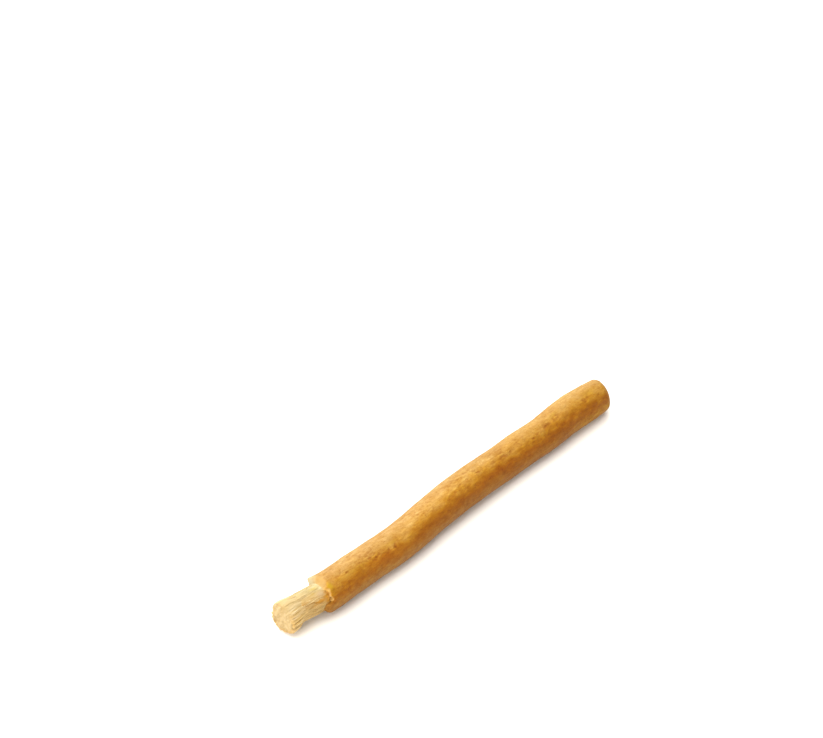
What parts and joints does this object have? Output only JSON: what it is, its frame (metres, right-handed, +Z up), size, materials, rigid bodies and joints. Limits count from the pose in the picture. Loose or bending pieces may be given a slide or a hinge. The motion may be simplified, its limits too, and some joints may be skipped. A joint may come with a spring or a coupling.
{
  "type": "miswak stick",
  "caption": "Natural tooth-cleaning stick in its bark, peeled at one end, where the bare wood is frayed into a round brush, and sawn off plain at the other.",
  "frame": {"origin": "bottom centre of the bounding box, on the surface that the stick lies on", "axes": "+X along the stick, from the brush to the sawn end; +Z up; +Y across"},
  "size_m": [0.1508, 0.0154, 0.0127],
  "materials": {
    "bark": "golden-tan dry bark, finely wrinkled and pitted, satin",
    "bare_wood": "pale cream bare wood, fibrous and matt"
  },
  "bodies": {
    "root": {"bark": "bark", "wood_core": "bare_wood"}
  },
  "joints": []
}
